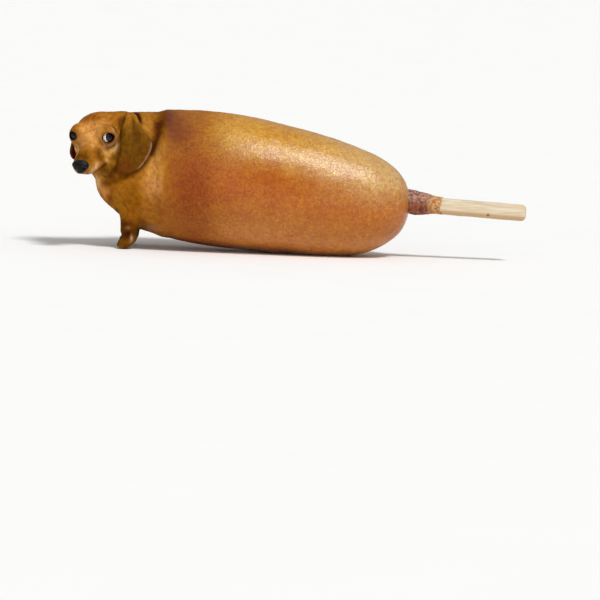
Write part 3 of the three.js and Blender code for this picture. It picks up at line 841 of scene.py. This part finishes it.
def flow_of(p):
    """The way the hair lies: back over the head, down the ears and legs, back and down the chest."""
    head = smooth(4, 0, head_field(p)) * smooth(-64, -70, p[0])
    q = from_head(p)
    backward = -FORWARD[:, None] * 0.9 - UP[:, None] * smooth(1, -8, q[2]) * 0.6
    body = np.array([0.62, 0, -0.75])[:, None] + 0 * p
    low = smooth(12, 7, p[2])
    body = body * (1 - low) + np.array([0.05, 0, -1])[:, None] * low
    flow = body * (1 - head) + backward * head
    for ear in EARS:
        flap, _ = ear_field(p, ear)
        on_ear = smooth(1, 0.2, flap)
        _, _, up, _, _ = ear_frame(ear)
        flow = flow * (1 - on_ear) - up[:, None] * on_ear
    return flow / np.maximum(np.linalg.norm(flow, axis=0), 1e-6)


CRUST_LUMPS = [(0.10, 6.5, 31), (0.055, 2.6, 32), (0.040, 1.3, 33), (0.028, 0.75, 34)]  # height, size, seed


def with_relief(p, normal):
    """The points raised by the relief of crust and coat, with the streaks and the fried share."""
    fried = fried_share(p)
    flow = flow_of(p)
    hair = streaks(p, flow, 0.38, 3.4, 43)
    haired = smooth(0.6, 1.2, eye_opening(from_head(p)))
    coat_relief = 0.045 * streaks(p, flow, 0.42, 3.2, 41) + 0.05 * noise(p, 2.4, 42)
    relief = fried * lumps(p, CRUST_LUMPS) + (1 - fried) * haired * coat_relief
    return p + normal * relief, hair * (1 - fried), fried


def skin_material(name, specular):
    """Fried crust and smooth hair, mixed by the fried share."""
    s = Shader(name, Specular_IOR_Level=specular)
    tone = s.attribute("tone", "Color")
    fried = s.attribute("fried")
    hair = s.attribute("hair")

    def tinted(base, value, *tints):
        """Multiplies base by each tint's red, green and blue, the more so from its low to its high value."""
        for low, high, *factors in tints:
            tint = s.mixed(1, base, (*factors, 1), "MULTIPLY")
            base = s.mixed(s.ranged(value, low, high), base, tint)
        return base

    grain = s.noise(0.75, 2, 0.6)
    mottle = s.noise(1.9, 3, 0.6)
    patches = s.noise(6, 3, 0.6)
    crust = tinted(tone, grain, (0.50, 0.66, 1.20, 1.28, 1.28), (0.48, 0.32, 0.82, 0.73, 0.63))
    crust = tinted(crust, mottle, (0.52, 0.68, 1.06, 1.16, 1.10), (0.50, 0.34, 0.92, 0.80, 0.68))
    crust = tinted(crust, patches, (0.52, 0.66, 1.07, 1.12, 0.98), (0.48, 0.36, 0.96, 0.88, 0.80))
    specks = s.node("TexVoronoi", {"Vector": s.place(), "Scale": 1 / (2.4 * MM), "Randomness": 1.0})
    dots = s.math("MULTIPLY", s.ranged(specks.outputs["Distance"], 0.115, 0.05), s.ranged(mottle, 0.50, 0.56))
    crust = s.mixed(s.math("MULTIPLY", dots, 0.4), crust, "4a2410")
    coat = tinted(tone, hair, (0.1, 1.2, 1.30, 1.26, 1.20), (-0.1, -1.2, 0.70, 0.64, 0.58))
    coat = tinted(coat, mottle, (0.54, 0.38, 0.84, 0.76, 0.68), (0.50, 0.66, 1.12, 1.14, 1.10))
    base = s.mixed(fried, coat, crust)
    body_x = s.node("SeparateXYZ", {"Vector": s.place()}).outputs["X"]
    oily = s.ranged(body_x, (SHOULDER_X + 10) * MM, (SHOULDER_X + 32) * MM, 0.88, 0.29)
    roughness = s.math("ADD", oily, s.ranged(grain, 0.3, 0.7, 0.06, -0.06))
    fine = s.bump(s.noise(0.45, 2, 0.65), 0.06, s.ranged(fried, 0, 1, 0.3, 1))
    normal = s.bump(grain, 0.09, s.ranged(fried, 0, 1, 0.15, 1), fine)
    return s.finish(Base_Color=base, Roughness=roughness, Normal=normal)


# ---------------- the dachshund

COAT_CELL = 0.306
COAT_END_X = SHOULDER_X + 1.8  # the coat runs on this far, under the batter
COAT_LOW, COAT_HIGH = (-94, -33, -1), (COAT_END_X + 1, 25, 51)


def cut_coat_field(p):
    under = 0.05 * smooth(SHOULDER_X, SHOULDER_X + 0.5, p[0])
    return np.maximum(np.maximum(skin_field(p) + under, p[0] - COAT_END_X), -p[2])


def add_dachshund():
    points, quads = surface_net(cut_coat_field, COAT_LOW, COAT_HIGH, COAT_CELL)
    raised, hair, fried = with_relief(points, outward(cut_coat_field, points))
    raised[0] = np.minimum(raised[0], COAT_END_X)
    raised[2] = np.maximum(raised[2], 0)
    attributes = {"tone": as_base(skin_tone(raised, points), "coat"), "hair": hair, "fried": fried}
    material = skin_material("dachshund_skin", GLOSS["coat"])
    mesh_piece("dachshund_coat", raised, quads, material, "coat", "dachshund", attributes=attributes)


add_dachshund()

# ---------------- the batter

BATTER_CELL = 0.45


def turn(around):
    return np.linspace(0, 2 * math.pi, around, endpoint=False)


def tube_faces(rings, around):
    """Quads between rings of points, and fans that close both ends round the two points after them."""
    ring = np.arange(around)
    after = (ring + 1) % around
    start = np.arange(rings - 1)[:, None] * around
    corners = [start + ring, start + after, start + around + after, start + around + ring]
    faces = np.stack(corners, -1).reshape(-1, 4).tolist()
    count = rings * around
    last = count - around
    for n, m in zip(ring.tolist(), after.tolist()):
        faces += [[n, count, m], [last + n, last + m, count + 1]]
    return faces


def add_batter():
    """A grid of rings along the body, round at the stick's end and capped flat inside the coat."""
    around = int(2 * math.pi * 22 / BATTER_CELL)
    straight_end = BODY_END_X - END_LENGTH
    straight = np.linspace(SHOULDER_X, straight_end, int((straight_end - SHOULDER_X) / BATTER_CELL))
    angles = np.linspace(0, math.pi / 2, int(48 / BATTER_CELL))[1:-1]
    arc = straight_end + END_LENGTH * np.sin(angles) ** (2 / END_FULLNESS)
    xs = np.concatenate([straight, arc])
    radii = body_radius(xs)
    angle = turn(around)
    grid = np.array([
        np.repeat(xs, around),
        (radii[:, None] * np.sin(angle)).ravel(),
        (along_body(xs, AXIS)[:, None] + radii[:, None] * np.cos(angle)).ravel(),
    ])
    near = grid[0] < SHOULDER_X + 8
    normal = outward(core_field, grid)
    grid[:, near] = settled(skin_field, grid[:, near], 0.3)
    normal[:, near] = outward(skin_field, grid[:, near])
    grid[0, :around] = SHOULDER_X
    raised, hair, fried = with_relief(grid, normal)
    cap_height = STATIONS[0, AXIS]
    middle = np.array([[0], [cap_height]])
    cap_ring = raised[:, :around].copy()
    cap_ring[0] += CAP_DEPTH
    cap_ring[1:] = middle + (cap_ring[1:] - middle) * CAP_SHARE
    ends = np.array([[SHOULDER_X + CAP_DEPTH, BODY_END_X], [0, 0], [cap_height, STATIONS[-1, AXIS]]])
    points = np.concatenate([cap_ring, raised, ends], axis=1)
    points[2] = np.maximum(points[2], 0)
    faces = tube_faces(len(xs) + 1, around)
    hair = np.pad(hair, (around, 2))
    fried = np.pad(fried, (around, 2), constant_values=1)
    attributes = {"tone": as_base(skin_tone(points, points), "crust"), "hair": hair, "fried": fried}
    material = skin_material("fried_batter", GLOSS["crust"])
    piece = mesh_piece("batter_crust", points, faces, material, "batter", "batter", attributes=attributes)
    sharp = piece.data.attributes.new("sharp_edge", "BOOLEAN", "EDGE")
    edges = np.array([edge.vertices[:] for edge in piece.data.edges])
    on_first_ring = (edges // around == 1).all(axis=1)  # ring 0 is the cap's
    sharp.data.foreach_set("value", on_first_ring)


add_batter()

# ---------------- collar and stick

COLLAR_LUMPS = [(0.30, 2.2, 51), (0.20, 1, 52), (0.10, 0.5, 53)]
WOOD_FLECK = (53, -2.2, 16)  # place, in mm


def sloped(local, x, height, fall):
    """Points given along, across and up, moved onto a line that falls from x and height."""
    fall = math.radians(fall)
    along, across, up = local
    return np.array([x + along * math.cos(fall) + up * math.sin(fall), across,
                     height - along * math.sin(fall) + up * math.cos(fall)])


def collar_material():
    s = Shader("stick_crust", Roughness=0.5)
    tip, upper = s.attribute("tip"), s.attribute("upper")
    rough = s.noise(0.8, 4, 0.65)
    blotch = s.noise(1.8, 3)
    base = s.mixed(s.ranged(blotch, 0.42, 0.58), "5c240e", "93491f")
    # Painted glints: purple-grey on the grain's peaks along the upper side.
    pale = s.math("MULTIPLY", upper, s.ranged(rough, 0.42, 0.60))
    base = s.mixed(pale, base, "ab8876")
    base = s.mixed(s.ranged(rough, 0.60, 0.72, 0, 0.6), base, "b07c54")
    base = s.mixed(s.ranged(tip, 0, 1), base, s.mixed(s.ranged(rough, 0.42, 0.58), "a5652e", "cb9c62"))
    bump = s.bump(rough, 0.35, 1, s.bump(s.noise(0.4, 3), 0.12))
    return s.finish(Base_Color=base, Normal=bump)


def add_collar():
    """The crust that ran down the stick: thick at the body, thinning to a ragged edge on the wood."""
    around = 96
    xs = np.linspace(COLLAR[0][0], COLLAR[-1][0], 120)
    radii = np.interp(xs, *zip(*COLLAR))
    angle = turn(around)
    tip_x = COLLAR[-1][0]
    tip_height = STICK["height"] - (tip_x - STICK["start"]) * math.tan(math.radians(STICK["fall"]))
    share = (xs - xs[0])[:, None] / (xs[-1] - xs[0]) + 0 * angle
    tube = np.array([
        (xs - tip_x)[:, None] + 0 * angle,
        radii[:, None] * np.sin(angle),
        radii[:, None] * np.cos(angle),
    ]).reshape(3, -1)
    size = 1 + (lumps(tube, COLLAR_LUMPS) - 0.05) / radii.repeat(around)
    ragged = smooth(0.8, 1, share.ravel()) * 0.8 * noise([tube[1], tube[2], 0 * tube[0]], 1.4, 54)
    tube[0] += ragged
    tube[1:] *= size
    points = sloped(tube, tip_x, tip_height, COLLAR_FALL)
    ends = np.array([[points[0, :around].mean(), points[0, -around:].mean() - 0.1], [0, 0],
                     [points[2, :around].mean(), points[2, -around:].mean()]])
    attributes = {
        "tip": np.concatenate([smooth(0.55, 0.95, share.ravel() + 0.12 * noise(points, 1.5, 55)), [0, 1]]),
        # the upper side, which gets the painted glints
        "upper": np.concatenate([smooth(-0.3, 0.5, np.tile(np.cos(angle), len(xs))), [0, 0]]),
    }
    points = np.concatenate([points, ends], axis=1)
    faces = tube_faces(len(xs), around)
    mesh_piece("stick_crust", points, faces, collar_material(), "batter", "batter", attributes=attributes)


def wood_material():
    s = Shader("wood", Roughness=0.72)
    side = s.attribute("side")
    fibres = s.noise(0.35, 3, 0.6, s.stretched(26, 1, 1))
    broad = s.noise(1.4, 2, 0.5, s.stretched(14, 1, 1))
    base = s.mixed(s.ranged(fibres, 0.35, 0.65), "bca88a", "d2c6ae")
    base = s.mixed(s.ranged(broad, 0.55, 0.75), base, "c8ad88")
    # Painted shade: the stick's lower side face is darker tan.
    base = s.mixed(s.math("MULTIPLY", side, 0.8), base, "bf9a6c")
    fleck_place = tuple(value * MM for value in WOOD_FLECK)
    fleck = s.node("VectorMath", {0: s.place(), 1: fleck_place}, operation="DISTANCE").outputs["Value"]
    base = s.mixed(s.ranged(fleck, 0.7 * MM, 0.3 * MM, 0, 0.8), base, "6a4028")
    return s.finish(Base_Color=base, Normal=s.bump(fibres, 0.08, 1))


def add_stick():
    """A flat bar with rounded edges and end, its faces slightly uneven along the grain."""
    around = 128
    length, end_round, fullness = STICK["end"] - STICK["start"], STICK["end_round"], STICK["fullness"]
    straight = np.linspace(0, length - end_round, 180)
    angles = np.linspace(0, math.pi / 2, 14)[1:-1]
    along = np.concatenate([straight, length - end_round + end_round * np.sin(angles)])
    shrink = np.concatenate([np.zeros(len(straight)), end_round * (1 - np.cos(angles))])
    angle = turn(around)
    half_width, half_thickness = STICK["width"] / 2, STICK["thickness"] / 2
    across = np.sign(np.sin(angle)) * np.abs(np.sin(angle)) ** (2 / fullness)
    up = np.sign(np.cos(angle)) * np.abs(np.cos(angle)) ** (2 / fullness)
    rings = np.array([
        along[:, None] + 0 * angle,
        np.maximum(half_thickness - shrink, 0.1)[:, None] * across,
        np.maximum(half_width - shrink * 1.1, 0.1)[:, None] * up,
    ]).reshape(3, -1)
    grain = noise([rings[0] / 9, rings[1], rings[2]], 0.6, 61)
    wave = noise([rings[0] / 2.2, rings[1] / 3, rings[2] / 3], 1.6, 62)
    rings[1:] *= 1 + 0.014 * grain + 0.035 * wave
    # The lower side face, which the wood paints darker as shade.
    side = smooth(-0.55, -0.85, rings[2] / half_width)
    roll = math.radians(STICK["roll"])
    turned = np.array([rings[0], rings[1] * math.cos(roll) + rings[2] * math.sin(roll),
                       -rings[1] * math.sin(roll) + rings[2] * math.cos(roll)])
    local = np.concatenate([turned, [[0, length], [0, 0], [0, 0]]], axis=1)
    points = sloped(local, STICK["start"], STICK["height"], STICK["fall"])
    faces = tube_faces(len(along), around)
    attributes = {"side": np.pad(side, (0, 2))}
    mesh_piece("wooden_stick", points, faces, wood_material(), "wood", "stick", attributes=attributes)


add_collar()
add_stick()

# ---------------- nose, eyes and claws

NOSE_FORMS = [
    ((14.1, 0, -3.6), (1.9, 2.95, 1.75), 1),  # its wide upper part
    ((14.4, 0, -5.3), (1.6, 1.1, 1.2), 1.4),  # its narrow foot
]
NOSE_GROOVES = [
    ((16.1, 1.3, -4.2), (15.2, 1.6, -4.1), 0.28, 0.38, 0.3, 0, 0),  # nostril
    ((15.5, 1.9, -4.5), (14.3, 2.9, -4.7), 0.16, 0.12, 0.25, 0, 0),  # its slit
    ((16.3, 0, -4.6), (15.6, 0, -6.4), 0.14, 0.18, 0.3, 0, 0),  # cleft
]


def nose_field(p):
    q = mirrored_head(p)
    return grooved(joined_forms(None, q, NOSE_FORMS), q, NOSE_GROOVES)


def nose_material():
    s = Shader("nose_leather", Roughness=0.36, Specular_IOR_Level=0.16)
    cells = s.node("TexVoronoi", {"Vector": s.place(), "Scale": 1 / (0.42 * MM)}, feature="DISTANCE_TO_EDGE")
    pebbles = s.ranged(cells.outputs["Distance"], 0, 0.25)
    base = s.mixed(pebbles, "030506", "0c1114")
    base = s.mixed(s.ranged(s.noise(1.6), 0.45, 0.7), base, "1c1618")
    return s.finish(Base_Color=base, Normal=s.bump(pebbles, 0.05, 0.6))


def add_nose():
    centre, reach = head_place(*NOSE_CENTRE), 4.2
    points, quads = surface_net(nose_field, centre - reach, centre + reach, 0.14)
    mesh_piece("nose_leather", points, quads, nose_material(), "nose_skin", "nose")


GAZES = {"eye_left": (0.57, -0.816, 0.096), "eye_right": (-0.40, -0.914, 0.063)}  # each of length 1
IRIS_ANGLE, PUPIL_ANGLE = 50, 26


def eye_material():
    s = Shader("eyeball", Roughness=0.08, Specular_IOR_Level=0.3)
    away = s.attribute("away")
    streaky = s.noise(0.25, 2)
    iris = s.mixed(s.ranged(streaky, 0.4, 0.6), "1e0a0e", "3a1818")
    iris = s.mixed(s.ranged(away, PUPIL_ANGLE + 2, PUPIL_ANGLE - 2), iris, "020101")
    iris = s.mixed(s.ranged(away, IRIS_ANGLE - 7, IRIS_ANGLE - 1), iris, "0c0605")
    white = s.mixed(s.ranged(streaky, 0.4, 0.7), "f6f0ea", "e6dad2")
    white = s.mixed(s.ranged(away, IRIS_ANGLE + 22, IRIS_ANGLE + 40), white, "7a4a38")
    return s.finish(Base_Color=s.mixed(s.ranged(away, IRIS_ANGLE - 1, IRIS_ANGLE + 3), iris, white))


def add_eyes():
    material = eye_material()
    rings, around = ((48, 64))
    tilt = np.linspace(0, math.pi, rings + 2)[1:-1]
    angle = turn(around)
    away = np.concatenate([np.degrees(tilt).repeat(around), [0, 180]])
    faces = [face[::-1] for face in tube_faces(rings, around)]
    for name, sign in (("eye_left", 1), ("eye_right", -1)):
        gaze = np.array(GAZES[name])
        side = np.cross(gaze, (0, 0, 1))
        side /= np.linalg.norm(side)
        top = np.cross(side, gaze)
        out = (gaze[:, None, None] * np.cos(tilt)[:, None] + np.sin(tilt)[:, None]
               * (side[:, None, None] * np.cos(angle) + top[:, None, None] * np.sin(angle))).reshape(3, -1)
        out = np.concatenate([out, gaze[:, None], -gaze[:, None]], axis=1)
        centre = head_place(EYE_CENTRE[0], sign * EYE_CENTRE[1], EYE_CENTRE[2])
        mesh_piece(name + "_ball", centre[:, None] + out * EYE_RADIUS, faces, material, "eye", name,
                   attributes={"away": away})


CLAW_RADIUS, CLAW_LENGTH, CLAW_DROP = 0.38, 0.85, 0.65
CLAW_ROOT = (-1.7, 1.05)  # behind the toe's place, and height


def add_claws():
    """A short curved claw at the front of each toe."""
    s = Shader("claw", Roughness=0.35)
    horn = s.finish(Base_Color=s.mixed(s.ranged(s.noise(0.5), 0.4, 0.6), "b9a590", "e0d3c2"))
    around = 12
    angle = turn(around)
    share = np.linspace(0, 1, 8)
    radius = CLAW_RADIUS * (1 - share ** 1.5 * 0.85)
    line = np.array([-CLAW_LENGTH * share, 0 * share, -CLAW_DROP * share ** 2])
    ring = np.array([0 * angle, np.sin(angle), np.cos(angle)])
    tube = (line[:, :, None] + radius[:, None] * ring[:, None, :]).reshape(3, -1)
    claw = np.concatenate([tube, line[:, :1], line[:, -1:] - [[0.1], [0], [0]]], axis=1)
    claw_faces = [face[::-1] for face in tube_faces(len(share), around)]
    for side_name, sign in (("right", 1), ("left", -1)):
        blocks, faces = [], []
        for sideways, behind in TOES:
            start = len(blocks) * claw.shape[1]
            x, y = TOES_CENTRE[0] + CLAW_ROOT[0] + behind, sign * (TOES_CENTRE[1] + sideways)
            blocks.append(claw + [[x], [y], [CLAW_ROOT[1]]])
            faces += [[start + n for n in face] for face in claw_faces]
        mesh_piece("claws_" + side_name, np.concatenate(blocks, axis=1), faces, horn, "nose_skin")


add_nose()
add_eyes()
add_claws()

# ---------------- floor and lights


def add_floor():
    half = 15
    mesh = bpy.data.meshes.new("floor")
    corners = [(-half, -half, 0), (half, -half, 0), (half, half, 0), (-half, half, 0)]
    mesh.from_pydata(corners, [], [(0, 1, 2, 3)])
    s = Shader("floor", Roughness=0.9)
    mesh.materials.append(s.finish(Base_Color=s.mixed(s.noise(40), "f5f5f4", "f8f8f7")))
    floor = add_object("floor", mesh)


def add_light(name, azimuth, elevation, strength, spread, lights=True, mirrored=True):
    """A wide even light from far off; azimuth 0 is the camera's side, and it turns towards the stick."""
    a, e = math.radians(azimuth), math.radians(elevation)
    light = bpy.data.lights.new(name, "SUN")
    light.energy = strength
    light.angle = math.radians(spread)
    lamp = add_object(name, light)
    source = Vector((math.cos(e) * math.sin(a), -math.cos(e) * math.cos(a), math.sin(e)))
    lamp.location = source
    lamp.rotation_euler = source.to_track_quat("Z", "Y").to_euler()
    lamp.visible_diffuse = lights
    lamp.visible_glossy = mirrored


def add_world(strength):
    world = bpy.data.worlds.new("world")
    world.use_nodes = True
    background = world.node_tree.nodes["Background"]
    background.inputs["Color"].default_value = (1, 1, 1, 1)
    background.inputs["Strength"].default_value = strength
    bpy.context.scene.world = world


add_floor()
add_world(0.40)
add_light("key", azimuth=32, elevation=52, strength=2.55, spread=14, mirrored=False)
add_light("shine", azimuth=50, elevation=61, strength=2.7, spread=27, lights=False)
add_light("fill", azimuth=-15, elevation=2, strength=0.75, spread=60, mirrored=False)
bpy.context.scene.view_settings.view_transform = "Standard"
